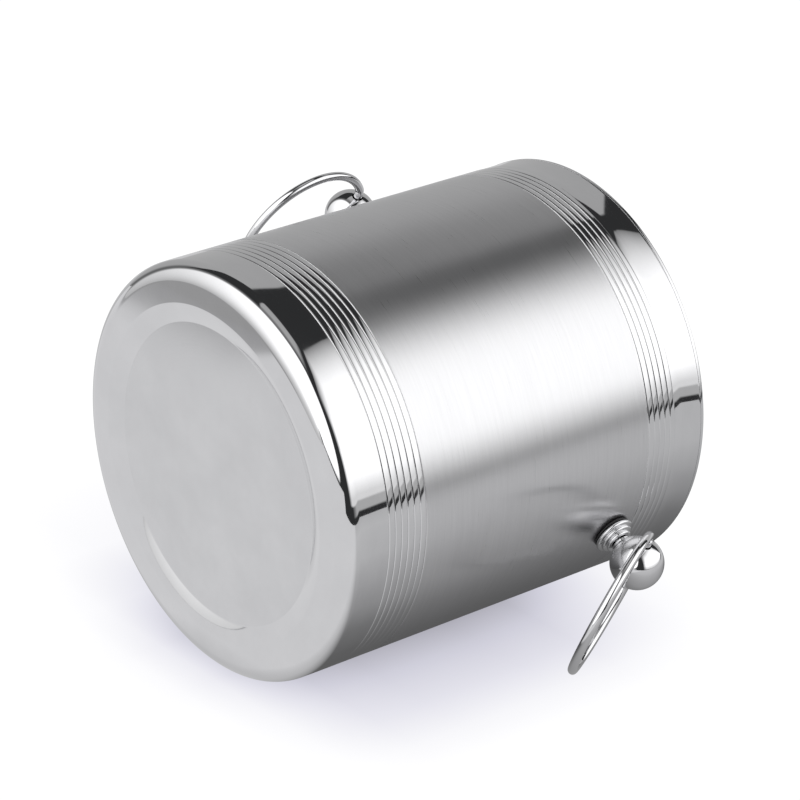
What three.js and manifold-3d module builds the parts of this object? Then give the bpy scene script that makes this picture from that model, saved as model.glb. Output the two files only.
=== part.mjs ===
// Stainless steel ice bucket with a double wall and two ring handles.
// Millimetres. +Z runs up the bucket's axis from the foot to the mouth, the origin is the centre of the
// foot plane, and the two handle knobs lie on the Y axis: the front one at +Y, the rear one at -Y.
import * as THREE from "three";
import { mergeVertices } from "three/addons/utils/BufferGeometryUtils.js";
import Module from "manifold-3d";

const wasm = await Module();
wasm.setup();

// ---- Driving dimensions ----

// Bucket as a whole
const OUTER_RADIUS = 70;
const HEIGHT = 149.4;
const GAP = 0.3; // left between pieces that touch

// Outer shell
const SHELL_WALL = 0.8;
const FOOT_FILLET = 6;
const RECESS_OUTER_RADIUS = 57;
const RECESS_INNER_RADIUS = 50.6;
const RECESS_DEPTH = 2;
const GROOVE_COUNT = 6;
const GROOVE_WIDTH = 0.9;
const GROOVE_DEPTH = 0.4;
const FOOT_GROOVE_START = 17.1;
const FOOT_GROOVE_PITCH = 2.5;
const MOUTH_GROOVE_START = 125.1;
const MOUTH_GROOVE_PITCH = 2.3;

// Inner liner, whose mouth is rolled over the edge of the shell
const LINER_RADIUS = 63.5;
const LINER_WALL = 0.7;
const LINER_FLOOR_Z = 8;
const LINER_CORNER = 10;
const LINER_SHOULDER = 3.2;
const RIM_BEAD_RADIUS = 0.7; // the liner's sheet folded back on itself

// Handles
const HANDLE_Z = 116.3;
const KNOB_RADIUS = 9;
const KNOB_STAND_OFF = 14.3; // shell surface to knob centre
const NECK_RADIUS = 3.4;
const STUD_RADIUS = 2;
const STUD_REACH = 5.9; // depth of the stud's end inside the shell surface
const SCREW_HOLE_RADIUS = 2.3;

// Seal, and rosette with three steps
const SEAL_RADIUS = 6.7;
const SEAL_TOP = 0.8;
const ROSETTE_BASE = 1.1;
const ROSETTE_STEPS = [
  { radius: 7.1, top: 2.5 },
  { radius: 5.9, top: 3.7 },
  { radius: 4.7, top: 4.9 },
];
const EDGE_ROUND = 0.35;

// Fixing inside the double wall
const PLATE_SIZE = 16;
const PLATE_THICKNESS = 1;
const WASHER_RADIUS = 4;
const WASHER_THICKNESS = 0.8;
const NUT_ACROSS_FLATS = 7;
const NUT_THICKNESS = 2;

// Wire rings
const WIRE_RADIUS = 1.5;
const RING_RADIUS = 25; // to the wire's centre line
const RING_DROP = 22; // knob centre to ring centre
const RING_BEND = 3; // radius of the bends that turn the wire into the knob
const RING_END = 3; // distance of each wire end from the knob's centre
const CROSS_HOLE_RADIUS = 1.9;
const FRONT_SWING = THREE.MathUtils.degToRad(28); // swung out from hanging straight down
const REAR_SWING = THREE.MathUtils.degToRad(-2);

// Facets
const BODY_FACETS = 48;
const SMALL_FACETS = 28;
const WIRE_FACETS = 8;
const RING_STEPS = 64;

// ---- Materials ----

const brushedSteel = new THREE.MeshStandardMaterial({
  color: 0xb9babc,
  roughness: 0.35,
  metalness: 1,
});
const linerSteel = new THREE.MeshStandardMaterial({
  color: 0xc3c4c6,
  roughness: 0.28,
  metalness: 1,
});
const chrome = new THREE.MeshStandardMaterial({
  color: 0xdadbdd,
  roughness: 0.06,
  metalness: 1,
});
const zincSteel = new THREE.MeshStandardMaterial({
  color: 0x9fa3a6,
  roughness: 0.5,
  metalness: 1,
});
const blackRubber = new THREE.MeshStandardMaterial({
  color: 0x121214,
  roughness: 0.8,
  metalness: 0,
});

// ---- Helpers ----

const point = (x, y) => new THREE.Vector2(x, y);

// Points on an arc in the profile plane, with angles in degrees from the +X axis.
function arc(centreX, centreY, radius, fromDegrees, toDegrees, steps) {
  const points = [];
  for (let i = 0; i <= steps; i++) {
    const angle = THREE.MathUtils.degToRad(
      fromDegrees + ((toDegrees - fromDegrees) * i) / steps,
    );
    points.push(point(centreX + radius * Math.cos(angle), centreY + radius * Math.sin(angle)));
  }
  return points;
}

// A turned solid about the Y axis.
function turned(profile, facets) {
  return new THREE.LatheGeometry(profile, facets);
}

// A turned solid about the Z axis.
function turnedUpright(profile, facets) {
  return turned(profile, facets).rotateX(Math.PI / 2);
}

function toSolid(geometry) {
  const bare = geometry.clone();
  bare.deleteAttribute("normal");
  bare.deleteAttribute("uv");
  const merged = mergeVertices(bare, 1e-4);
  return new wasm.Manifold(
    new wasm.Mesh({
      numProp: 3,
      vertProperties: merged.attributes.position.array,
      triVerts: new Uint32Array(merged.index.array),
    }),
  );
}

function toGeometry(solid) {
  const mesh = solid.getMesh();
  const geometry = new THREE.BufferGeometry();
  geometry.setAttribute("position", new THREE.BufferAttribute(mesh.vertProperties, 3));
  geometry.setIndex(new THREE.BufferAttribute(mesh.triVerts, 1));
  geometry.computeVertexNormals();
  return geometry;
}

function subtract(geometry, ...cutters) {
  let solid = toSolid(geometry);
  for (const cutter of cutters) {
    solid = solid.subtract(toSolid(cutter));
  }
  return toGeometry(solid);
}

function named(name, geometry, material) {
  const mesh = new THREE.Mesh(geometry, material);
  mesh.name = name;
  return mesh;
}

// ---- Outer shell: one drawn cup with a recessed base and two bands of rolled grooves ----

function grooveProfile(start, pitch) {
  const points = [];
  for (let i = 0; i < GROOVE_COUNT; i++) {
    const z = start + i * pitch;
    points.push(point(OUTER_RADIUS, z - GROOVE_WIDTH / 2));
    points.push(point(OUTER_RADIUS - GROOVE_DEPTH, z));
    points.push(point(OUTER_RADIUS, z + GROOVE_WIDTH / 2));
  }
  return points;
}

function outerShell() {
  const edgeZ = HEIGHT - 2 * RIM_BEAD_RADIUS - GAP;
  const filletRadius = OUTER_RADIUS - FOOT_FILLET;
  const profile = [
    point(0, RECESS_DEPTH),
    point(RECESS_INNER_RADIUS, RECESS_DEPTH),
    point(RECESS_OUTER_RADIUS, 0),
    ...arc(filletRadius, FOOT_FILLET, FOOT_FILLET, -90, 0, 5),
    ...grooveProfile(FOOT_GROOVE_START, FOOT_GROOVE_PITCH),
    ...grooveProfile(MOUTH_GROOVE_START, MOUTH_GROOVE_PITCH),
    point(OUTER_RADIUS, edgeZ),
    point(OUTER_RADIUS - SHELL_WALL, edgeZ),
    ...arc(filletRadius, FOOT_FILLET, FOOT_FILLET - SHELL_WALL, 0, -90, 5),
    point(RECESS_OUTER_RADIUS, SHELL_WALL),
    point(RECESS_INNER_RADIUS, RECESS_DEPTH + SHELL_WALL),
    point(0, RECESS_DEPTH + SHELL_WALL),
  ];
  const screwHoles = new THREE.CylinderGeometry(
    SCREW_HOLE_RADIUS,
    SCREW_HOLE_RADIUS,
    3 * OUTER_RADIUS,
    SMALL_FACETS,
  ).translate(0, 0, HANDLE_Z);
  return subtract(turnedUpright(profile, BODY_FACETS), screwHoles);
}

// ---- Inner liner: a drawn cup whose flange ends in a rolled bead over the shell's edge ----

function innerLiner() {
  const beadCentre = point(OUTER_RADIUS - RIM_BEAD_RADIUS, HEIGHT - RIM_BEAD_RADIUS);
  const flangeTop = beadCentre.y + LINER_WALL / 2;
  const flangeBottom = beadCentre.y - LINER_WALL / 2;
  const beadJoin = THREE.MathUtils.radToDeg(Math.asin(LINER_WALL / 2 / RIM_BEAD_RADIUS));
  const shoulderRadius = LINER_RADIUS + LINER_SHOULDER;
  const cornerRadius = LINER_RADIUS - LINER_CORNER;
  const cornerZ = LINER_FLOOR_Z + LINER_CORNER;
  const profile = [
    point(0, LINER_FLOOR_Z),
    ...arc(cornerRadius, cornerZ, LINER_CORNER, -90, 0, 4),
    ...arc(shoulderRadius, flangeBottom - LINER_SHOULDER, LINER_SHOULDER, 180, 90, 3),
    ...arc(beadCentre.x, beadCentre.y, RIM_BEAD_RADIUS, -180 + beadJoin, 180 - beadJoin, 10),
    ...arc(shoulderRadius, flangeTop - LINER_SHOULDER - LINER_WALL, LINER_SHOULDER + LINER_WALL, 90, 180, 3),
    ...arc(cornerRadius, cornerZ, LINER_CORNER - LINER_WALL, 0, -90, 4),
    point(0, LINER_FLOOR_Z + LINER_WALL),
  ];
  return turnedUpright(profile, BODY_FACETS);
}

// ---- Handle pieces, in a frame on the shell's surface: +Y outwards, +Z up, X along the hinge ----

// A cylinder as large as the shell, with its axis where the shell's axis is.
function shellCylinder(radius) {
  return new THREE.CylinderGeometry(radius, radius, 2 * PLATE_SIZE, 2 * BODY_FACETS)
    .rotateX(Math.PI / 2)
    .translate(0, -OUTER_RADIUS, 0);
}

// A flat ring about the Y axis.
function annulus(innerRadius, outerRadius, bottom, top) {
  const profile = [
    point(innerRadius, bottom),
    point(outerRadius, bottom),
    point(outerRadius, top),
    point(innerRadius, top),
    point(innerRadius, bottom),
  ];
  return turned(profile, SMALL_FACETS);
}

// The seal's back follows the curve of the shell.
function seal() {
  const washer = annulus(SCREW_HOLE_RADIUS, SEAL_RADIUS, -EDGE_ROUND, SEAL_TOP);
  return subtract(washer, shellCylinder(OUTER_RADIUS + GAP));
}

function rosette() {
  const profile = [point(SCREW_HOLE_RADIUS, ROSETTE_BASE)];
  let bottom = ROSETTE_BASE;
  for (const step of ROSETTE_STEPS) {
    profile.push(point(step.radius - EDGE_ROUND, bottom));
    profile.push(point(step.radius, bottom + EDGE_ROUND));
    profile.push(point(step.radius, step.top - EDGE_ROUND));
    profile.push(point(step.radius - EDGE_ROUND, step.top));
    bottom = step.top;
  }
  profile.push(point(SCREW_HOLE_RADIUS, bottom));
  profile.push(point(SCREW_HOLE_RADIUS, ROSETTE_BASE));
  return turned(profile, SMALL_FACETS);
}

// Ball, neck and threaded stud in one turned piece, cross-drilled for the ring.
function knob() {
  const neckBase = ROSETTE_STEPS.at(-1).top + GAP;
  const neckAngle = THREE.MathUtils.radToDeg(Math.acos(NECK_RADIUS / KNOB_RADIUS));
  const profile = [
    point(0, -STUD_REACH),
    point(STUD_RADIUS, -STUD_REACH),
    point(STUD_RADIUS, neckBase),
    point(NECK_RADIUS, neckBase),
    ...arc(0, KNOB_STAND_OFF, KNOB_RADIUS, -neckAngle, 90, 12),
  ];
  const crossHole = new THREE.CylinderGeometry(
    CROSS_HOLE_RADIUS,
    CROSS_HOLE_RADIUS,
    3 * KNOB_RADIUS,
    SMALL_FACETS / 2,
  )
    .rotateZ(Math.PI / 2)
    .translate(0, KNOB_STAND_OFF, 0);
  return subtract(turned(profile, SMALL_FACETS), crossHole);
}

// A square saddle plate that follows the inside of the shell.
function backingPlate() {
  const outer = OUTER_RADIUS - SHELL_WALL - GAP;
  const halfAngle = Math.asin(PLATE_SIZE / 2 / outer);
  const outline = new THREE.Shape();
  outline.absarc(0, 0, outer, Math.PI / 2 - halfAngle, Math.PI / 2 + halfAngle, false);
  outline.absarc(0, 0, outer - PLATE_THICKNESS, Math.PI / 2 + halfAngle, Math.PI / 2 - halfAngle, true);
  const plate = new THREE.ExtrudeGeometry(outline, {
    depth: PLATE_SIZE,
    bevelEnabled: false,
    curveSegments: 6,
  }).translate(0, -OUTER_RADIUS, -PLATE_SIZE / 2);
  const hole = new THREE.CylinderGeometry(
    SCREW_HOLE_RADIUS,
    SCREW_HOLE_RADIUS,
    PLATE_SIZE,
    SMALL_FACETS,
  );
  return subtract(plate, hole);
}

const PLATE_BACK = -(SHELL_WALL + GAP + PLATE_THICKNESS);
const WASHER_TOP = PLATE_BACK - GAP;
const NUT_TOP = WASHER_TOP - WASHER_THICKNESS - GAP;

function lockWasher() {
  return annulus(SCREW_HOLE_RADIUS, WASHER_RADIUS, WASHER_TOP - WASHER_THICKNESS, WASHER_TOP);
}

function hexNut() {
  const cornerRadius = NUT_ACROSS_FLATS / 2 / Math.cos(Math.PI / 6);
  const block = new THREE.CylinderGeometry(cornerRadius, cornerRadius, NUT_THICKNESS, 6).translate(
    0,
    NUT_TOP - NUT_THICKNESS / 2,
    0,
  );
  const hole = new THREE.CylinderGeometry(
    SCREW_HOLE_RADIUS,
    SCREW_HOLE_RADIUS,
    PLATE_SIZE,
    SMALL_FACETS,
  );
  return subtract(block, hole);
}

// Centre line of the ring as it hangs: X along the hinge, -Z down, with the hinge at the origin.
// Each straight end leaves the knob along X and turns through a bend into the round of the ring.
class RingPath extends THREE.Curve {
  constructor() {
    super();
    const bendDepth = RING_DROP - RING_BEND;
    const bendReach = Math.sqrt((RING_RADIUS - RING_BEND) ** 2 - bendDepth ** 2);
    this.bend = point(bendReach, -RING_BEND);
    this.turn = Math.atan2(bendReach, bendDepth);
    this.pieces = [
      bendReach - RING_END,
      RING_BEND * this.turn,
      RING_RADIUS * 2 * (Math.PI - this.turn),
      RING_BEND * this.turn,
      bendReach - RING_END,
    ];
    this.total = this.pieces.reduce((sum, length) => sum + length, 0);
  }

  // The right-hand half, measured from the wire's end in the knob.
  halfPoint(distance) {
    const [straight, bend] = this.pieces;
    if (distance < straight) return point(RING_END + distance, 0);
    if (distance < straight + bend) {
      const angle = Math.PI / 2 - (distance - straight) / RING_BEND;
      return point(
        this.bend.x + RING_BEND * Math.cos(angle),
        this.bend.y + RING_BEND * Math.sin(angle),
      );
    }
    const angle = this.turn + (distance - straight - bend) / RING_RADIUS;
    return point(RING_RADIUS * Math.sin(angle), -RING_DROP + RING_RADIUS * Math.cos(angle));
  }

  getPoint(t, target = new THREE.Vector3()) {
    const distance = t * this.total;
    const mirrored = distance > this.total / 2;
    const half = this.halfPoint(mirrored ? this.total - distance : distance);
    return target.set(mirrored ? -half.x : half.x, 0, half.y);
  }
}

function ring() {
  const section = new THREE.Shape();
  section.absarc(0, 0, WIRE_RADIUS, 0, 2 * Math.PI, false);
  return new THREE.ExtrudeGeometry(section, {
    steps: RING_STEPS,
    curveSegments: WIRE_FACETS / 2,
    extrudePath: new RingPath(),
  });
}

// One complete handle. swing turns its ring outwards from hanging straight down.
function handle(side, swing) {
  const group = new THREE.Group();
  group.add(named(`${side}_seal`, seal(), blackRubber));
  group.add(named(`${side}_rosette`, rosette(), chrome));
  group.add(named(`${side}_knob`, knob(), chrome));
  group.add(named(`${side}_backing_plate`, backingPlate(), zincSteel));
  group.add(named(`${side}_lock_washer`, lockWasher(), zincSteel));
  group.add(named(`${side}_nut`, hexNut(), zincSteel));
  const swinging = named(`${side}_ring`, ring(), chrome);
  swinging.position.y = KNOB_STAND_OFF;
  swinging.rotation.x = swing;
  group.add(swinging);
  return group;
}

// ---- Assembly ----

const bucket = new THREE.Group();
bucket.add(named("outer_shell", outerShell(), brushedSteel));
bucket.add(named("inner_liner", innerLiner(), linerSteel));

const frontHandle = handle("front", FRONT_SWING);
frontHandle.position.set(0, OUTER_RADIUS, HANDLE_Z);
bucket.add(frontHandle);

const rearHandle = handle("rear", REAR_SWING);
rearHandle.position.set(0, -OUTER_RADIUS, HANDLE_Z);
rearHandle.rotation.z = Math.PI;
bucket.add(rearHandle);

export default bucket;
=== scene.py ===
import math

import bmesh
import bpy
from mathutils import Matrix, Vector


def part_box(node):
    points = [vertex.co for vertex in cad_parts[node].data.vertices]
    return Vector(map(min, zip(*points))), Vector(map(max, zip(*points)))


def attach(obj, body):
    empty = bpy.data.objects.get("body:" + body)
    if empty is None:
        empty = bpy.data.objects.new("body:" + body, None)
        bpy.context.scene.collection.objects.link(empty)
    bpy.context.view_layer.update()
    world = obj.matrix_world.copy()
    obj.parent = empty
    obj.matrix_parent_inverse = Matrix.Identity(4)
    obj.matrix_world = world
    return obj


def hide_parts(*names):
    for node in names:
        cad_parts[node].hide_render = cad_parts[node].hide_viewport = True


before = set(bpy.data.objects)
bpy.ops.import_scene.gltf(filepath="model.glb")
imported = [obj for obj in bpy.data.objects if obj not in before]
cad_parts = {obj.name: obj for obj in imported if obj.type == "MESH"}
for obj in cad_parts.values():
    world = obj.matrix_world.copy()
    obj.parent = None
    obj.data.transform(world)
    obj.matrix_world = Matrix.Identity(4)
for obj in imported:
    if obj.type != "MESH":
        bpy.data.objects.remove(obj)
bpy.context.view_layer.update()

MM = 0.001
TURN = 2 * math.pi

# ---- Dimensions in millimetres, from the CAD boxes and the constants of the CAD source ----

_, shell_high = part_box("outer_shell")
_, liner_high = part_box("inner_liner")
knob_low, knob_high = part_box("front_knob")
OUTER_RADIUS = shell_high.x / MM
HEIGHT = liner_high.z / MM
KNOB_RADIUS = 9.0
KNOB_STAND_OFF = knob_high.y / MM - KNOB_RADIUS - OUTER_RADIUS
HANDLE_Z = (knob_low.z + knob_high.z) / 2 / MM
GAP = 0.3
SHELL_WALL = 0.8
FOOT_FILLET = 6.0
RECESS_OUTER_RADIUS = 57.0
RECESS_INNER_RADIUS = 50.6
RECESS_DEPTH = 2.0
RECESS_CURVE = 1.25
GROOVE_DEPTH = 0.2  # half the CAD's, as shallow as the photograph's grooves look
GROOVE_SHARE = 0.3  # of a bead's half width
BEAD_CROWN = 0.05
FLANK_WIDTH = 0.35
FOOT_GROOVES = [17.1 + 2.5 * i for i in range(6)]
FOOT_BAND_END = 31.9
FOOT_BAND_STEP = 0.16
FOOT_BAND_FLANK = 0.3
FOOT_WAIST_Z = 14.0
FOOT_WAIST_REACH = 8
FOOT_WAIST = 0.06
MOUTH_GROOVES = [125.1 + 2.3 * i for i in range(6)]
MOUTH_WAIST_Z = 140.8
MOUTH_WAIST_REACH = 6
MOUTH_WAIST = 0.13
MOUTH_FLARE_Z = 139.3
MOUTH_FLARE_REACH = 2.7
EDGE_ROUND = 0.05
SATIN_END = MOUTH_GROOVES[0] - 0.6
LINER_RADIUS = 63.5
LINER_WALL = 0.7
LINER_FLOOR_Z = 8.0
LINER_CORNER = 10.0
LINER_SHOULDER = 3.2
RIM_BEAD_RADIUS = 0.7
RIM_SEAM = 0.06
RIM_ROUND = 0.55
RIM_LIP_ROUND = 0.06
NECK_RADIUS = 3.4
STUD_RADIUS = 2.0
STUD_REACH = 5.9
STUD_CHAMFER = 0.3
NECK_CHAMFER = 0.2
SCREW_HOLE_RADIUS = 2.3
SEAL_RADIUS = 6.7
SEAL_TOP = 0.8
SEAL_LIP = 0.25
ROSETTE_BASE = 1.1
ROSETTE_STEPS = [(7.1, 2.5), (5.9, 3.7), (4.7, 4.9)]
WIRE_RADIUS = 1.5
RING_RADIUS = 25.0
RING_DROP = 22.0
RING_BEND = 3.0
RING_END = 3.0
CROSS_HOLE_RADIUS = 1.9
CROSS_HOLE_REACH = 14
HOLD = 0.05  # a short span beside a bend, which keeps the shading crisp
FLAT_HOLD = 0.15  # the same beside the base's flat stretches and the bands
SHARP = 32  # degrees between faces, above which their edge is crisp
ON_AXIS = 1e-6
FRONT_SWING = math.radians(28)
REAR_SWING = math.radians(-2)
BODY_SEGMENTS = 288
SMALL_SEGMENTS = 96
HOLE_SEGMENTS = 48
WIRE_SIDES = 28


# ---- Node helpers ----

class Nodes:
    """A material's node tree, with short calls that add and link nodes."""

    def __init__(self, name):
        self.material = bpy.data.materials.new(name)
        self.material.use_nodes = True
        self.tree = self.material.node_tree
        self.tree.nodes.clear()
        self.out = self.tree.nodes.new("ShaderNodeOutputMaterial")

    def add(self, kind, inputs=None, **settings):
        node = self.tree.nodes.new(kind)
        for key, value in settings.items():
            setattr(node, key, value)
        for key, value in (inputs or {}).items():
            if isinstance(value, bpy.types.NodeSocket):
                self.tree.links.new(value, node.inputs[key])
            else:
                node.inputs[key].default_value = value
        return node

    def math(self, operation, a, b=0.0):
        return self.add("ShaderNodeMath", {0: a, 1: b}, operation=operation).outputs[0]

    def span(self, value, low, high, to_low, to_high):
        """Maps value from low..high to to_low..to_high, held at both ends."""
        inputs = {"Value": value, "From Min": low, "From Max": high}
        inputs |= {"To Min": to_low, "To Max": to_high}
        return self.add("ShaderNodeMapRange", inputs, clamp=True).outputs["Result"]

    def place(self):
        return self.add("ShaderNodeTexCoord").outputs["Object"]

    def stretched(self, scale):
        """The place, multiplied by scale on each axis: the larger, the finer the pattern along it."""
        inputs = {0: self.place(), 1: scale}
        return self.add("ShaderNodeVectorMath", inputs, operation="MULTIPLY").outputs[0]

    def noise(self, vector, scale, detail, roughness):
        inputs = {"Vector": vector, "Scale": scale, "Detail": detail, "Roughness": roughness}
        return self.add("ShaderNodeTexNoise", inputs).outputs["Fac"]

    def tint(self, value, dark, light):
        """A colour from dark at value 0 to light at value 1."""
        inputs = {0: value, 6: (*dark, 1), 7: (*light, 1)}
        return self.add("ShaderNodeMix", inputs, data_type="RGBA").outputs[2]

    def blend(self, share, first, second):
        """A number from first at share 0 to second at share 1."""
        inputs = {0: share, 2: first, 3: second}
        return self.add("ShaderNodeMix", inputs, data_type="FLOAT").outputs[0]

    def colours(self, value, stops):
        """A colour that follows (place, colour) stops along value, with places from 0 to 1."""
        node = self.add("ShaderNodeValToRGB", {"Fac": value})
        points = node.color_ramp.elements
        while len(points) < len(stops):
            points.new(0.5)
        for point, (place, colour) in zip(points, stops):
            point.position = place
            point.color = (*colour, 1)
        return node.outputs["Color"]

    def ramp(self, value, stops):
        """A grey level that follows (millimetres, level) stops along value, which is in metres.

        Adding nothing turns the colour into one number."""
        first, last = stops[0][0], stops[-1][0]
        share = self.span(value, first * MM, last * MM, 0, 1)
        greys = [((place - first) / (last - first), (level, level, level)) for place, level in stops]
        return self.math("ADD", self.colours(share, greys), 0.0)

    def bump(self, height, distance, strength):
        inputs = {"Height": height, "Distance": distance, "Strength": strength}
        return self.add("ShaderNodeBump", inputs).outputs["Normal"]

    def principled(self, **inputs):
        named = {key.replace("_", " "): value for key, value in inputs.items()}
        shader = self.add("ShaderNodeBsdfPrincipled", named)
        return self.surface(shader.outputs[0])

    def emission(self, colour, strength):
        return self.add("ShaderNodeEmission", {"Color": colour, "Strength": strength}).outputs[0]

    def surface(self, shader):
        """Links the shader to the output and returns the finished material."""
        self.tree.links.new(shader, self.out.inputs["Surface"])
        return self.material


# ---- Materials ----

def satin_steel(name, dark, light, smooth, rough, anisotropy):
    """Steel brushed round the Z axis: fine grain, broader streaks and a few soft handling marks."""
    n = Nodes(name)
    grain = n.noise(n.stretched((1, 1, 60)), 90, detail=4, roughness=0.62)
    streaks = n.noise(n.stretched((1, 1, 30)), 30, detail=3, roughness=0.6)
    marks = n.noise(n.place(), 24, detail=3, roughness=0.5)
    mixed = n.math("ADD", n.math("MULTIPLY", grain, 0.6), n.math("MULTIPLY", streaks, 0.4))
    colour = n.tint(n.span(mixed, 0.38, 0.62, 0, 1), dark, light)
    brushed = n.span(mixed, 0.3, 0.7, smooth, rough)
    roughness = n.math("ADD", brushed, n.span(marks, 0.55, 0.75, 0, 0.03))
    tangent = n.add("ShaderNodeTangent", direction_type="RADIAL", axis="Z").outputs[0]
    return n.principled(
        Base_Color=colour,
        Metallic=1.0,
        Roughness=roughness,
        Anisotropic=anisotropy,
        Anisotropic_Rotation=0.25,
        Normal=n.bump(grain, distance=0.006 * MM, strength=0.25),
        Tangent=tangent,
    )


def polished_steel(name, dark, light, smooth, rough):
    """Buffed steel: a slow waviness in the sheet, faint wipe marks and hairline buffing."""
    n = Nodes(name)
    wipes = n.noise(n.stretched((1, 1, 2.5)), 38, detail=4, roughness=0.6)
    hairlines = n.noise(n.stretched((1, 1, 60)), 60, detail=3, roughness=0.6)
    wave = n.noise(n.place(), 26, detail=1, roughness=0.4)
    colour = n.tint(n.span(wipes, 0.35, 0.7, 0, 1), dark, light)
    soft = n.span(wipes, 0.45, 0.75, smooth, rough)
    roughness = n.math("ADD", soft, n.span(hairlines, 0.55, 0.8, 0, 0.03))
    return n.principled(
        Base_Color=colour,
        Metallic=1.0,
        Roughness=roughness,
        Normal=n.bump(wave, distance=0.2 * MM, strength=0.12),
    )


def disc_steel(name, dark, light, smooth, rough):
    """The pressed base disc and the liner's floor: an even sheen, faint turning lines and blotches."""
    n = Nodes(name)
    place = n.place()
    split = n.add("ShaderNodeSeparateXYZ", {0: place})
    flat = n.add("ShaderNodeCombineXYZ", {0: split.outputs[0], 1: split.outputs[1]}).outputs[0]
    radius = n.add("ShaderNodeVectorMath", {0: flat}, operation="LENGTH").outputs["Value"]
    lines = n.math("MULTIPLY", radius, 2400)
    around = n.add("ShaderNodeCombineXYZ", {0: lines, 1: split.outputs[0]}).outputs[0]
    turning = n.noise(around, 1, detail=3, roughness=0.55)
    blotches = n.noise(place, 42, detail=4, roughness=0.6)
    colour = n.tint(n.span(blotches, 0.35, 0.65, 0, 1), dark, light)
    blotched = n.span(blotches, 0.35, 0.7, smooth, rough)
    roughness = n.math("ADD", blotched, n.span(turning, 0.4, 0.7, 0, 0.05))
    return n.principled(
        Base_Color=colour,
        Metallic=1.0,
        Roughness=roughness,
        Normal=n.bump(turning, distance=0.01 * MM, strength=0.25),
    )


def zinc_plate(name):
    """Zinc plating with its crystal spangle and a little white bloom."""
    n = Nodes(name)
    spangle = n.add("ShaderNodeTexVoronoi", {"Vector": n.place(), "Scale": 900}).outputs["Distance"]
    bloom = n.noise(n.place(), 180, detail=4, roughness=0.6)
    colour = n.tint(n.span(spangle, 0, 0.8, 0, 1), (0.50, 0.53, 0.55), (0.68, 0.69, 0.68))
    return n.principled(Base_Color=colour, Metallic=1.0, Roughness=n.span(bloom, 0.3, 0.7, 0.32, 0.58))


def black_rubber(name):
    """Moulded rubber with a fine pitted skin and a pale dusting."""
    n = Nodes(name)
    pits = n.noise(n.place(), 2600, detail=3, roughness=0.6)
    dust = n.noise(n.place(), 160, detail=4, roughness=0.65)
    colour = n.tint(n.span(dust, 0.45, 0.8, 0, 1), (0.012, 0.012, 0.013), (0.035, 0.035, 0.036))
    return n.principled(
        Base_Color=colour,
        Roughness=n.span(dust, 0.3, 0.7, 0.55, 0.8),
        Normal=n.bump(pits, distance=0.03 * MM, strength=0.5),
    )


SATIN = satin_steel(
    "satin_steel",
    dark=(0.595, 0.595, 0.605),
    light=(0.64, 0.64, 0.65),
    smooth=0.27, rough=0.3, anisotropy=0.72,
)
POLISHED = polished_steel(
    "polished_steel",
    dark=(0.63, 0.63, 0.64),
    light=(0.67, 0.67, 0.68),
    smooth=0.035, rough=0.07,
)
DISC = disc_steel(
    "disc_steel",
    dark=(0.60, 0.60, 0.61),
    light=(0.64, 0.64, 0.65),
    smooth=0.1, rough=0.16,
)
LINER_SATIN = satin_steel(
    "liner_satin_steel",
    dark=(0.60, 0.60, 0.61),
    light=(0.68, 0.68, 0.69),
    smooth=0.24, rough=0.33, anisotropy=0.5,
)
CHROME = polished_steel(
    "chrome",
    dark=(0.66, 0.66, 0.67),
    light=(0.72, 0.72, 0.73),
    smooth=0.03, rough=0.06,
)
ZINC = zinc_plate("zinc_plate")
RUBBER = black_rubber("black_rubber")


# ---- Mesh helpers ----

def link(name, mesh, materials):
    """Puts the mesh in the scene as an object with these material slots."""
    piece = bpy.data.objects.new(name, mesh)
    bpy.context.scene.collection.objects.link(piece)
    for material in materials:
        mesh.materials.append(material)
    return piece


def arc(centre_r, centre_z, radius, start, stop, steps):
    """(radius, height) points along an arc, between two angles in degrees."""
    points = []
    for i in range(steps + 1):
        angle = math.radians(start + (stop - start) * i / steps)
        points.append((centre_r + radius * math.cos(angle), centre_z + radius * math.sin(angle)))
    return points


def lathe(name, profile, segments, materials, zone=None, closed=True):
    """A turned piece about Z, from (radius, height) points in millimetres.

    zone gives the material's index for the span between two points."""
    bm = bmesh.new()
    rows = []
    for radius, height in profile:
        if radius < ON_AXIS:
            rows.append([bm.verts.new((0, 0, height * MM))])
            continue
        row = []
        for j in range(segments):
            angle = TURN * j / segments
            x, y = radius * MM * math.cos(angle), radius * MM * math.sin(angle)
            row.append(bm.verts.new((x, y, height * MM)))
        rows.append(row)
    spans = [(i, i + 1) for i in range(len(rows) - 1)]
    if closed:
        spans.append((len(rows) - 1, 0))
    for a, b in spans:
        if len(rows[a]) == 1 and len(rows[b]) == 1:
            continue
        index = zone(profile[a], profile[b]) if zone else 0
        for j in range(segments):
            corners = []
            for row, place in ((rows[a], j), (rows[a], j + 1), (rows[b], j + 1), (rows[b], j)):
                vertex = row[place % len(row)]
                if vertex not in corners:
                    corners.append(vertex)
            face = bm.faces.new(corners)
            face.material_index = index
    return finish_mesh(name, bm, materials, SHARP)


def finish_mesh(name, bm, materials, sharp):
    """Smooth shaded, with edges over the sharp angle in degrees kept crisp."""
    bmesh.ops.recalc_face_normals(bm, faces=bm.faces)
    mesh = bpy.data.meshes.new(name)
    bm.to_mesh(mesh)
    bm.free()
    mesh.shade_smooth()
    mesh.set_sharp_from_angle(angle=math.radians(sharp))
    return link(name, mesh, materials)


def dense(points, step):
    """The same outline with no span longer than step."""
    result = [points[0]]
    for (r0, z0), (r1, z1) in zip(points, points[1:]):
        count = max(1, math.ceil(math.hypot(r1 - r0, z1 - z0) / step))
        for i in range(1, count + 1):
            result.append((r0 + (r1 - r0) * i / count, z0 + (z1 - z0) * i / count))
    return result


# ---- Outer shell ----

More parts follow.
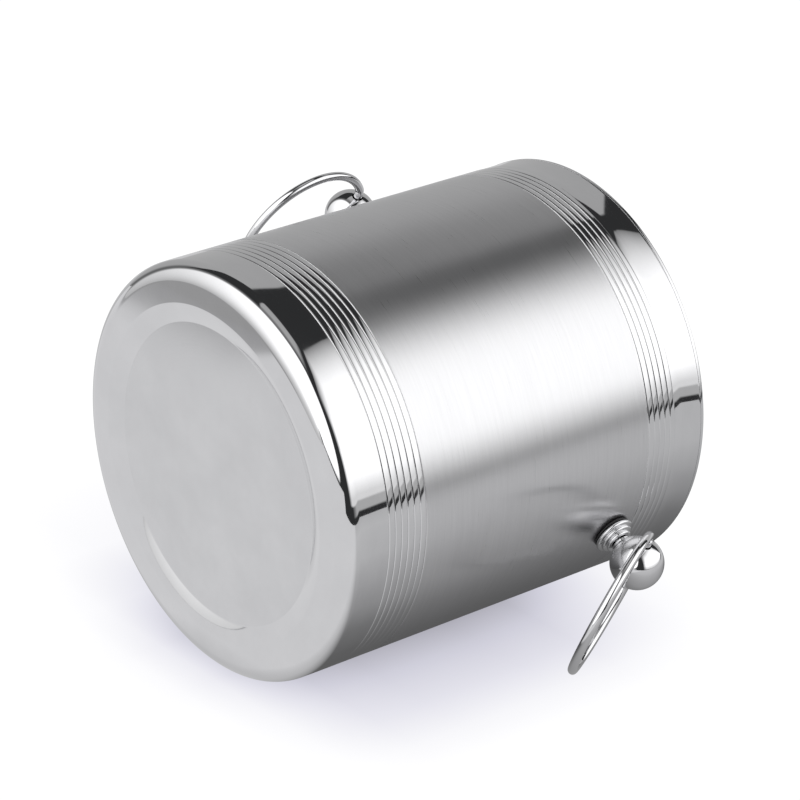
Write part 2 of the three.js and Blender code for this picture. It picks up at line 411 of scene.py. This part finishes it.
def bead(low, high, low_depth=GROOVE_DEPTH, high_depth=GROOVE_DEPTH):
    """A crowned bead between two grooves, without its first point."""
    points = []
    steps = 16
    for i in range(1, steps + 1):
        t = -math.cos(math.pi * i / steps)
        depth = low_depth if t < 0 else high_depth
        crown = min(BEAD_CROWN, depth)
        edge = max(0.0, (abs(t) - (1 - GROOVE_SHARE)) / GROOVE_SHARE)
        drop = crown * t * t + (depth - crown) * edge * edge
        points.append((OUTER_RADIUS - drop, (low + high) / 2 + t * (high - low) / 2))
    return points


def flank(z, side, depth=GROOVE_DEPTH, width=FLANK_WIDTH):
    """The slope between the plain wall and an outermost groove, before it (side -1) or after (1)."""
    points = []
    steps = 6
    for i in range(steps + 1):
        t = i / steps
        points.append((OUTER_RADIUS - depth * t * t, z + side * width * (1 - t)))
    return points if side < 0 else points[::-1][1:]


def recess_step():
    """The sloped step round the base, steepest at the disc."""
    points = []
    steps = 28
    for i in range(steps + 1):
        t = i / steps
        radius = RECESS_INNER_RADIUS + (RECESS_OUTER_RADIUS - RECESS_INNER_RADIUS) * t
        fall = 1 - (1 - t) ** RECESS_CURVE
        points.append((radius, RECESS_DEPTH * (1 - fall)))
    return points


def wall_radius(z):
    """The polished bands are very slightly waisted, as spun and buffed sheet is."""
    if z < FOOT_WAIST_Z:
        return OUTER_RADIUS - FOOT_WAIST * ((FOOT_WAIST_Z - z) / FOOT_WAIST_REACH) ** 2
    if z > MOUTH_GROOVES[-1]:
        flare = MOUTH_WAIST * (max(0.0, MOUTH_FLARE_Z - z) / MOUTH_FLARE_REACH) ** 2
        waist = MOUTH_WAIST * ((z - MOUTH_WAIST_Z) / MOUTH_WAIST_REACH) ** 2
        return OUTER_RADIUS - MOUTH_WAIST + waist - flare
    return OUTER_RADIUS


def wall(low, high, step):
    """Points up the outer wall from low to high."""
    return [(wall_radius(z), z) for _, z in dense([(OUTER_RADIUS, low), (OUTER_RADIUS, high)], step)]


def shell_outline():
    """From the base disc's centre, up the outside to the mouth and back down the inside."""
    edge_z = HEIGHT - 2 * RIM_BEAD_RADIUS - RIM_SEAM
    disc_edge = RECESS_INNER_RADIUS - FLAT_HOLD
    outline = dense([(0, RECESS_DEPTH), (disc_edge, RECESS_DEPTH)], step=4)
    outline += recess_step()
    ring_start = RECESS_OUTER_RADIUS + 2 * FLAT_HOLD
    ring_stop = OUTER_RADIUS - FOOT_FILLET - FLAT_HOLD
    outline += dense([(ring_start, 0), (ring_stop, 0)], step=1)
    foot_radius = wall_radius(FOOT_FILLET)
    outline += arc(foot_radius - FOOT_FILLET, FOOT_FILLET, FOOT_FILLET, -90, -1.5, steps=36)
    band_margin = FLANK_WIDTH + FLAT_HOLD
    outline += wall(FOOT_FILLET + 2 * HOLD, FOOT_GROOVES[0] - band_margin, step=0.5)
    outline += flank(FOOT_GROOVES[0], -1)
    for low, high in zip(FOOT_GROOVES, FOOT_GROOVES[1:]):
        outline += bead(low, high)
    outline += bead(FOOT_GROOVES[-1], FOOT_BAND_END, GROOVE_DEPTH, FOOT_BAND_STEP)
    outline += flank(FOOT_BAND_END, 1, FOOT_BAND_STEP, FOOT_BAND_FLANK)
    satin_low = FOOT_BAND_END + FOOT_BAND_FLANK + HOLD
    satin_high = MOUTH_GROOVES[0] - band_margin
    outline += dense([(OUTER_RADIUS, satin_low), (OUTER_RADIUS, satin_high)], step=2.5)
    outline += flank(MOUTH_GROOVES[0], -1)
    for low, high in zip(MOUTH_GROOVES, MOUTH_GROOVES[1:]):
        outline += bead(low, high)
    outline += [(min(r, wall_radius(z)), z) for r, z in flank(MOUTH_GROOVES[-1], 1)]
    outline += wall(MOUTH_GROOVES[-1] + FLANK_WIDTH + HOLD, edge_z - 1.2 * EDGE_ROUND, step=0.5)
    outline += arc(wall_radius(edge_z) - EDGE_ROUND, edge_z - EDGE_ROUND, EDGE_ROUND, 0, 90, steps=3)
    inside = OUTER_RADIUS - SHELL_WALL
    outline += [(inside, edge_z)]
    outline += dense([(inside, edge_z - HOLD), (inside, FOOT_FILLET + HOLD)], step=12)
    outline += arc(OUTER_RADIUS - FOOT_FILLET, FOOT_FILLET, FOOT_FILLET - SHELL_WALL, 0, -90, steps=10)
    outline += [(RECESS_OUTER_RADIUS, SHELL_WALL), (RECESS_INNER_RADIUS, RECESS_DEPTH + SHELL_WALL)]
    outline += [(0, RECESS_DEPTH + SHELL_WALL)]
    return outline


def shell_zone(a, b):
    """0 polished, 1 satin, 2 base disc."""
    middle_r = (a[0] + b[0]) / 2
    middle_z = (a[1] + b[1]) / 2
    if middle_r < RECESS_INNER_RADIUS - 2 * HOLD and middle_z < RECESS_DEPTH + 2 * HOLD:
        return 2
    if FOOT_BAND_END < middle_z < SATIN_END:
        return 1
    return 0


shell_steels = [POLISHED, SATIN, DISC]
shell = lathe("shell_skin", shell_outline(), BODY_SEGMENTS, shell_steels, shell_zone, closed=False)
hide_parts("outer_shell")
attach(shell, "bucket")


# ---- Inner liner ----

def liner_outline():
    """From the floor's underside, up to the folded rim, over it and back down to the floor's top."""
    bead_r = OUTER_RADIUS - RIM_BEAD_RADIUS
    bead_z = HEIGHT - RIM_BEAD_RADIUS
    top = bead_z + LINER_WALL / 2
    bottom = bead_z - LINER_WALL / 2
    join = math.degrees(math.asin(LINER_WALL / 2 / RIM_BEAD_RADIUS))
    shoulder = LINER_RADIUS + LINER_SHOULDER
    corner = LINER_RADIUS - LINER_CORNER
    corner_z = LINER_FLOOR_Z + LINER_CORNER
    low_z = bottom - LINER_SHOULDER
    outline = dense([(0, LINER_FLOOR_Z), (corner - HOLD, LINER_FLOOR_Z)], step=6)
    outline += arc(corner, corner_z, LINER_CORNER, -90, 0, steps=20)
    outline += dense([(LINER_RADIUS, corner_z + HOLD), (LINER_RADIUS, low_z - HOLD)], step=6)
    outline += arc(shoulder, low_z, LINER_SHOULDER, 180, 90, steps=12)
    outline += arc(bead_r, bead_z, RIM_BEAD_RADIUS, join - 180, -90, steps=8)
    face = wall_radius(bead_z)
    lip_z = HEIGHT - 2 * RIM_BEAD_RADIUS + RIM_LIP_ROUND
    outline += arc(face - RIM_LIP_ROUND, lip_z, RIM_LIP_ROUND, -90, 0, steps=3)
    outline += arc(face - RIM_ROUND, HEIGHT - RIM_ROUND, RIM_ROUND, 0, 90, steps=14)
    outline += arc(bead_r, bead_z, RIM_BEAD_RADIUS, 92, 180 - join, steps=10)
    turned = LINER_SHOULDER + LINER_WALL
    outline += arc(shoulder, top - turned, turned, 90, 180, steps=14)
    inside = LINER_RADIUS - LINER_WALL
    outline += dense([(inside, low_z - 2 * HOLD), (inside, corner_z + HOLD)], step=6)
    outline += arc(corner, corner_z, LINER_CORNER - LINER_WALL, 0, -90, steps=20)
    floor_top = LINER_FLOOR_Z + LINER_WALL
    outline += dense([(corner - HOLD, floor_top), (0, floor_top)], step=6)
    return outline


def liner_zone(a, b):
    """0 satin walls, 1 polished shoulder and rim, 2 floor."""
    middle_r = (a[0] + b[0]) / 2
    middle_z = (a[1] + b[1]) / 2
    if middle_z > HEIGHT - 2 * RIM_BEAD_RADIUS - LINER_SHOULDER:
        return 1
    if middle_r < LINER_RADIUS - LINER_CORNER:
        return 2
    return 0


liner_steels = [LINER_SATIN, POLISHED, DISC]
liner = lathe("liner_skin", liner_outline(), BODY_SEGMENTS, liner_steels, liner_zone, closed=False)
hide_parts("inner_liner")
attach(liner, "bucket")


# ---- Handles, built at the shell's surface with +Y outwards, +Z up and X along the hinge ----

UPRIGHT = Matrix.Rotation(-math.pi / 2, 4, "X")


def handle_place(side):
    """From the handle's own frame to the bucket's."""
    turn = Matrix.Identity(4) if side == "front" else Matrix.Rotation(math.pi, 4, "Z")
    return turn @ Matrix.Translation((0, OUTER_RADIUS * MM, HANDLE_Z * MM))


def set_piece(piece, side, node, body):
    """Moves a piece from the handle's own frame to its side, hides its CAD node and attaches it to its
    body.
    """
    piece.data.transform(handle_place(side))
    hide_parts(node)
    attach(piece, body)


def make_seal(name):
    """A moulded washer whose back follows the curve of the shell."""
    outline = [(SCREW_HOLE_RADIUS, 0.0)]
    outline += arc(SEAL_RADIUS - SEAL_LIP, SEAL_LIP, SEAL_LIP, -90, 0, steps=5)
    outline += arc(SEAL_RADIUS - SEAL_LIP, SEAL_TOP - SEAL_LIP, SEAL_LIP, 0, 90, steps=5)
    outline += [(SCREW_HOLE_RADIUS, SEAL_TOP)]
    piece = lathe(name, dense(outline, step=1.2), SMALL_SEGMENTS, [RUBBER])
    piece.data.transform(UPRIGHT)
    clear = (OUTER_RADIUS + GAP) * MM
    for vertex in piece.data.vertices:
        share = 1 - vertex.co.y / (SEAL_TOP * MM)
        sunk = math.sqrt(clear**2 - vertex.co.x**2) - OUTER_RADIUS * MM
        vertex.co.y += sunk * max(0.0, share)
    return piece


def rosette_outline():
    """Three rounded steps, each standing on the one before."""
    outline = [(SCREW_HOLE_RADIUS, ROSETTE_BASE)]
    bottom = ROSETTE_BASE
    for radius, top in ROSETTE_STEPS:
        curve = (top - bottom) / 2
        start = -90 if bottom == ROSETTE_BASE else -40
        outline += arc(radius - curve, bottom + curve, curve, start, 78, steps=12)
        bottom = top
    outline += [(NECK_RADIUS + 0.3, bottom), (SCREW_HOLE_RADIUS, bottom)]
    return outline


def make_knob(name):
    """Ball, neck and stud in one, cross-drilled for the ring."""
    neck_base = ROSETTE_STEPS[-1][1] + GAP
    neck_angle = math.degrees(math.acos(NECK_RADIUS / KNOB_RADIUS))
    outline = [(0, -STUD_REACH), (STUD_RADIUS - STUD_CHAMFER, -STUD_REACH)]
    outline += [(STUD_RADIUS, -STUD_REACH + STUD_CHAMFER), (STUD_RADIUS, neck_base)]
    outline += [(NECK_RADIUS - NECK_CHAMFER, neck_base), (NECK_RADIUS, neck_base + NECK_CHAMFER)]
    outline += arc(0, KNOB_STAND_OFF, KNOB_RADIUS, -neck_angle, 89.99, steps=60)
    outline += [(0, KNOB_STAND_OFF + KNOB_RADIUS)]
    piece = lathe(name, outline, SMALL_SEGMENTS, [CHROME], closed=False)
    piece.data.transform(UPRIGHT)
    hole = [(0, -CROSS_HOLE_REACH), (CROSS_HOLE_RADIUS, -CROSS_HOLE_REACH)]
    hole += [(CROSS_HOLE_RADIUS, CROSS_HOLE_REACH), (0, CROSS_HOLE_REACH)]
    cutter = lathe(name + "_cutter", hole, HOLE_SEGMENTS, [CHROME], closed=False)
    along = Matrix.Rotation(math.pi / 2, 4, "Y")
    cutter.data.transform(Matrix.Translation((0, KNOB_STAND_OFF * MM, 0)) @ along)
    cut = piece.modifiers.new("cross_hole", "BOOLEAN")
    cut.operation = "DIFFERENCE"
    cut.solver = "EXACT"
    cut.object = cutter
    bpy.context.view_layer.update()
    evaluated = piece.evaluated_get(bpy.context.evaluated_depsgraph_get())
    drilled = bpy.data.meshes.new_from_object(evaluated)
    piece.modifiers.clear()
    piece.data = drilled
    bpy.data.objects.remove(cutter)
    drilled.shade_smooth()
    drilled.set_sharp_from_angle(angle=math.radians(SHARP))
    return piece


def ring_centre_line():
    """Points in millimetres along the hanging ring, in the plane of X (the hinge) and Z."""
    bend_depth = RING_DROP - RING_BEND
    bend_reach = math.sqrt((RING_RADIUS - RING_BEND) ** 2 - bend_depth**2)
    turn = math.atan2(bend_reach, bend_depth)
    half = []
    straight_steps = 16
    for i in range(straight_steps):
        half.append((RING_END + (bend_reach - RING_END) * i / straight_steps, 0.0))
    bend_steps = 12
    for i in range(bend_steps):
        angle = math.pi / 2 - turn * i / bend_steps
        x = bend_reach + RING_BEND * math.cos(angle)
        half.append((x, -RING_BEND + RING_BEND * math.sin(angle)))
    steps = 120
    for i in range(steps + 1):
        angle = turn + (math.pi - turn) * i / steps
        half.append((RING_RADIUS * math.sin(angle), -RING_DROP + RING_RADIUS * math.cos(angle)))
    return half + [(-x, z) for x, z in reversed(half[:-1])]


def make_ring(name):
    """The wire, swept along the centre line."""
    line = ring_centre_line()
    bm = bmesh.new()
    rows = []
    for i, (x, z) in enumerate(line):
        before = line[max(i - 1, 0)]
        after = line[min(i + 1, len(line) - 1)]
        run = Vector((after[0] - before[0], 0, after[1] - before[1])).normalized()
        across = Vector((-run.z, 0, run.x))
        row = []
        for j in range(WIRE_SIDES):
            angle = TURN * j / WIRE_SIDES
            offset = across * math.cos(angle) + Vector((0, 1, 0)) * math.sin(angle)
            row.append(bm.verts.new((Vector((x, 0, z)) + offset * WIRE_RADIUS) * MM))
        rows.append(row)
    for a, b in zip(rows, rows[1:]):
        for j in range(WIRE_SIDES):
            k = (j + 1) % WIRE_SIDES
            bm.faces.new((a[j], a[k], b[k], b[j]))
    bm.faces.new(rows[0])
    bm.faces.new(rows[-1])
    return finish_mesh(name, bm, [CHROME], sharp=40)


def make_handle(side, swing):
    """One side's seal, rosette, knob and ring; the hidden fixings keep their CAD shape in zinc."""
    set_piece(make_seal(f"{side}_seal_skin"), side, f"{side}_seal", "bucket")
    rosette = lathe(f"{side}_rosette_skin", rosette_outline(), SMALL_SEGMENTS, [CHROME])
    rosette.data.transform(UPRIGHT)
    set_piece(rosette, side, f"{side}_rosette", "bucket")
    set_piece(make_knob(f"{side}_knob_skin"), side, f"{side}_knob", "bucket")
    ring = make_ring(f"{side}_ring_skin")
    at_knob = Matrix.Translation((0, KNOB_STAND_OFF * MM, 0))
    ring.data.transform(at_knob @ Matrix.Rotation(swing, 4, "X"))
    set_piece(ring, side, f"{side}_ring", f"{side}_ring")
    for hidden in ("backing_plate", "lock_washer", "nut"):
        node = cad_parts[f"{side}_{hidden}"]
        node.data.materials.clear()
        node.data.materials.append(ZINC)


make_handle("front", FRONT_SWING)
make_handle("rear", REAR_SWING)

# ---- Stage: the photograph's floor, which touches the side of the lying bucket, and its lights ----

FLOOR_UP = math.radians(-26.8)
UP = Vector((math.cos(FLOOR_UP), math.sin(FLOOR_UP), 0))
ALONG = Vector((-math.sin(FLOOR_UP), math.cos(FLOOR_UP), 0))
CENTRE = Vector((0, 0, HEIGHT * MM / 2))
DOME_RADIUS = 6.0
LAYER_GAP = 0.02
PANEL_STEPS = 72
WHITE = (1, 1, 1, 1)
FLOOR_HALF = 6
FLOOR_LIGHT = 1.05
TABLE_LIFT = -0.3 * MM
TABLE_NEAR = -0.178
TABLE_CORNER = -0.21
TABLE_BEND = 60
TABLE_SIDE = 0.374
PAST_MOUTH_LEVEL = 0.66
STUDIO_FLOOR_HALF = 5.8
STUDIO_FLOOR_LIFT = -1.67
STUDIO_FLOOR_LIGHT = 0.44
WORLD_LIGHT = 0.04
BACKDROP_RADIUS = 9


def only(piece, *kinds):
    """Leaves the piece visible to the named kinds of ray alone."""
    for kind in ("camera", "diffuse", "glossy", "transmission", "shadow"):
        setattr(piece, f"visible_{kind}", kind in kinds)


def floor_sheet(name, material, lift, outline):
    """A flat sheet on the floor plane, raised by lift; outline: (Z, ALONG) corners in metres."""
    base = UP * (lift - OUTER_RADIUS * MM)
    corners = [base + Vector((0, 0, z)) + ALONG * side for z, side in outline]
    mesh = bpy.data.meshes.new(name)
    mesh.from_pydata(corners, [], [tuple(range(len(corners)))])
    sheet = link(name, mesh, [material])
    if mesh.polygons[0].normal.dot(UP) < 0:
        mesh.flip_normals()
    return sheet


def square(half):
    """The outline of a square sheet, from half its side."""
    return [(-half, -half), (-half, half), (half, half), (half, -half)]


def floor_places(n):
    """The distance along the floor's line of contact, and from it, as two sockets in metres."""
    place = n.place()
    side = n.add("ShaderNodeVectorMath", {0: place, 1: ALONG}, operation="DOT_PRODUCT")
    along = n.add("ShaderNodeSeparateXYZ", {0: place}).outputs[2]
    return along, side.outputs["Value"]


def shown_floor_material():
    """White, with a painted soft bluish shade where the bucket touches it. Seen from behind it is
    clear.
    """
    n = Nodes("floor")
    along, away = floor_places(n)
    # Painted shade: its share falls off with distance from the line of contact and along it; no light
    # casts it.
    beside_far = [(-180, 0), (-98, 0.11), (-60, 0.35), (-26, 0.8), (5, 0.8), (25, 0.56)]
    beside_near = [(37, 0.43), (45, 0.37), (60, 0.28), (80, 0.12), (100, 0.02), (120, 0)]
    beside = n.ramp(away, beside_far + beside_near)
    past_foot = [(-35, 0), (-17, 0.09), (-4, 0.24), (7, 0.5), (20, 0.78), (40, 0.93)]
    to_mouth = [(80, 1), (105, 0.95), (125, 0.6), (145, 0.25), (165, 0.08), (185, 0)]
    length = n.ramp(along, past_foot + to_mouth)
    shade = n.math("MULTIPLY", beside, length)
    pale = [(0, (1, 1, 1)), (0.25, (0.75, 0.745, 0.81)), (0.4, (0.6, 0.595, 0.675))]
    deep = [(0.7, (0.3, 0.295, 0.335)), (1, (0.1, 0.1, 0.115))]
    colour = n.colours(shade, pale + deep)
    lit = n.emission(colour, FLOOR_LIGHT)
    behind = n.add("ShaderNodeNewGeometry").outputs["Backfacing"]
    clear = n.add("ShaderNodeBsdfTransparent").outputs[0]
    return n.surface(n.add("ShaderNodeMixShader", {0: behind, 1: lit, 2: clear}).outputs[0])


def table_outline():
    """The table's (Z, ALONG) corners: its near edge curves away to -Z past TABLE_CORNER."""
    sides = (TABLE_CORNER, -0.19, -0.17, -0.15, -0.12, -0.08, 0.0)
    bend = [(TABLE_NEAR - TABLE_BEND * (side - TABLE_CORNER) ** 2, side) for side in sides]
    far_side = [(-3, 3), (-2.4, 3), (-0.3, TABLE_SIDE), (0.6, TABLE_SIDE), (0.6, -1.2)]
    return [(TABLE_NEAR, -1.2)] + bend + far_side


def table_top_material():
    """The floor as the metal reflects it, a glowing sheet with painted light and shade: bright ahead
    of the foot, painted shade beneath the bucket's side.
    """
    n = Nodes("table_top")
    along, away = floor_places(n)
    apart = n.math("ABSOLUTE", away)
    # Painted shade: the glow is darkest at the line of contact and brightens away from it.
    shaded = [(0, 0.11), (33, 0.125), (44, 0.148), (64, 0.235), (82, 0.375)]
    open_floor = [(109, 0.5), (154, 0.64), (261, 0.71), (407, 0.62)]
    painted_contact_shade = n.ramp(apart, shaded + open_floor)
    past_corner = n.math("MAXIMUM", n.math("ADD", away, -TABLE_CORNER), 0.0)
    slant = n.math("MULTIPLY", n.math("MULTIPLY", past_corner, past_corner), TABLE_BEND)
    near_edge = [(-178, 0.46), (-169, 0.5), (-163, 0.58), (-157, 0.74), (-151, 0.84)]
    before_foot = n.ramp(n.math("ADD", along, slant), near_edge + [(-143, 0.88), (0, 0.88)])
    past_foot = n.ramp(along, [(-14, 0), (2, 0.3), (22, 1)])
    past_mouth = n.ramp(along, [(190, 0), (260, 1)])
    beside = n.blend(past_foot, before_foot, painted_contact_shade)
    level = n.blend(past_mouth, beside, PAST_MOUTH_LEVEL)
    return n.surface(n.emission((0.99, 0.99, 1, 1), level))


def studio_floor_material():
    """The dim floor seen past the table's edges."""
    n = Nodes("studio_floor")
    return n.surface(n.emission(WHITE, STUDIO_FLOOR_LIGHT))


def between(points, x):
    """The value at x on straight lines through (x, value) points."""
    if x <= points[0][0]:
        return points[0][1]
    for (x0, y0), (x1, y1) in zip(points, points[1:]):
        if x <= x1:
            return y0 + (y1 - y0) * (x - x0) / (x1 - x0)
    return points[-1][1]


def panel(name, left, right, strength, fades, layer=0):
    """A studio light on the dome; a higher layer is nearer.

    left, right: (elevation, azimuth) points in degrees up each side.
    fades: degrees over which it fades in from the left, right, bottom and top, the left one as
    (elevation, degrees) points."""
    n = Nodes(name)
    fade = n.add("ShaderNodeAttribute", attribute_name="fade").outputs["Fac"]
    light = n.emission(WHITE, strength)
    clear = n.add("ShaderNodeBsdfTransparent").outputs[0]
    material = n.surface(n.add("ShaderNodeMixShader", {0: fade, 1: clear, 2: light}).outputs[0])
    low, high = left[0][0], left[-1][0]
    places = []
    levels = []
    for i in range(PANEL_STEPS + 1):
        elevation = low + (high - low) * i / PANEL_STEPS
        start, stop = between(left, elevation), between(right, elevation)
        for j in range(PANEL_STEPS + 1):
            azimuth = start + (stop - start) * j / PANEL_STEPS
            a, e = math.radians(azimuth), math.radians(elevation)
            ray = Vector((math.cos(e) * math.cos(a), math.cos(e) * math.sin(a), math.sin(e)))
            places.append(CENTRE + ray * (DOME_RADIUS - LAYER_GAP * layer))
            rise = min(1.0, (azimuth - start) / between(fades[0], elevation))
            level = rise * (1.5 - 0.5 * rise)
            for inside, width in zip((stop - azimuth, elevation - low, high - elevation), fades[1:]):
                level *= min(1.0, inside / width)
            levels.append(level)
    faces = []
    row = PANEL_STEPS + 1
    for i in range(PANEL_STEPS):
        for j in range(PANEL_STEPS):
            k = i * row + j
            faces.append((k, k + 1, k + row + 1, k + row))
    mesh = bpy.data.meshes.new(name)
    mesh.from_pydata(places, [], faces)
    mesh.attributes.new("fade", "FLOAT", "POINT").data.foreach_set("value", levels)
    light_panel = link(name, mesh, [material])
    only(light_panel, "diffuse", "glossy")


shown_floor = floor_sheet("floor", shown_floor_material(), 0.0, square(FLOOR_HALF))
only(shown_floor, "camera")
table_top = floor_sheet("table_top", table_top_material(), TABLE_LIFT, table_outline())
only(table_top, "glossy", "diffuse")
studio_floor = floor_sheet(
    "studio_floor", studio_floor_material(), STUDIO_FLOOR_LIFT, square(STUDIO_FLOOR_HALF)
)
only(studio_floor, "glossy", "diffuse")

# (elevation, azimuth) points in degrees up a light's side, and (elevation, degrees) points of a fade.
TOP = 90
HARD = [(0, 1)]
SOFTBOX_LEFT = [(-14, 14), (0, 7), (10, 1.5), (20, -6), (30, -12.5), (34.5, -19.5)]
SOFTBOX_LEFT += [(39.3, -28.5), (46, -23), (60, -12), (TOP, -4.5)]
SOFTBOX_FADE = [(34, 26), (39.3, 43), (46, 30), (60, 20)]
WALL_RIGHT = [(-9, -96), (0, -82), (10, -77), (20, -74), (30, -65), (34.6, -52)]
WALL_RIGHT += [(39.3, -39), (46, -45), (60, -52), (TOP, -57)]
FRONT_RIGHT = [(-88, 63), (-52, 63), (-47, 60), (-40, 52), (-35, 40), (-31, 30)]
FRONT_RIGHT += [(-27, 20), (-22, 10), (-15, 0), (-12, -14)]
MIDDLE = [(-14, 40), (TOP, 40)]

panel("room", [(-89, -180), (-5, -180)], [(-89, 0), (-5, 0)], 0.28, ([(0, 0.5)], 40, 1, 7))
panel("side_wall", [(-9, -181), (TOP, -181)], WALL_RIGHT, 0.5, (HARD, 1.5, 12, 1), 1)
panel("grey_panel", [(-12, -41), (24, -46)], [(-12, 4), (24, -14)], 0.52, (HARD, 6, 14, 5), 1)
panel("horizon_wall", [(-2, 60), (TOP, 60)], [(-2, 74.3), (TOP, 75.8)], 0.58, (HARD, 1, 22, 1), 1)
panel("front_softbox", [(-88, -175), (-12, -150)], FRONT_RIGHT, 1.7, ([(0, 110)], 4, 1, 5), 2)
panel("softbox_edge", SOFTBOX_LEFT, MIDDLE, 0.26, (HARD, 1, 10, 1), 2)
panel("softbox_far_edge", MIDDLE, [(-14, 68.5), (TOP, 70.3)], 1.0, ([(0, 0.1)], 1, 12, 1), 2)
panel("main_softbox", SOFTBOX_LEFT, [(-14, 64.5), (TOP, 67)], 1.68, (SOFTBOX_FADE, 10, 14, 1), 3)

world = bpy.data.worlds.new("studio")
world.use_nodes = True
background = world.node_tree.nodes["Background"]
background.inputs["Color"].default_value = (0.95, 0.97, 1.0, 1)
background.inputs["Strength"].default_value = WORLD_LIGHT
bpy.context.scene.world = world

backdrop_nodes = Nodes("backdrop")
backdrop_white = backdrop_nodes.surface(backdrop_nodes.emission(WHITE, 1.0))
bm = bmesh.new()
bmesh.ops.create_icosphere(bm, subdivisions=4, radius=BACKDROP_RADIUS)
backdrop_mesh = bpy.data.meshes.new("backdrop")
bm.to_mesh(backdrop_mesh)
bm.free()
backdrop = link("backdrop", backdrop_mesh, [backdrop_white])
only(backdrop, "camera")

# ---- Camera, at the photograph's viewing angle ----

CAMERA_PLACE = Vector((0.8242, 0.53265, -0.60624))
CAMERA_AIM = Vector((0.0041, -0.0023, 0.07782))
LENS = 162.73
SENSOR = 36
camera_data = bpy.data.cameras.new("camera")
camera_data.lens = LENS
camera_data.sensor_width = SENSOR
camera_data.clip_start = 0.01
camera_data.clip_end = 30
camera = bpy.data.objects.new("camera", camera_data)
bpy.context.scene.collection.objects.link(camera)
back = (CAMERA_PLACE - CAMERA_AIM).normalized()
right = UP.cross(back).normalized()
facing = Matrix((right, back.cross(right), back)).transposed()
camera.matrix_world = Matrix.Translation(CAMERA_PLACE) @ facing.to_4x4()
bpy.context.scene.camera = camera

view = bpy.context.scene.view_settings
view.view_transform = "Standard"
view.look = "None"
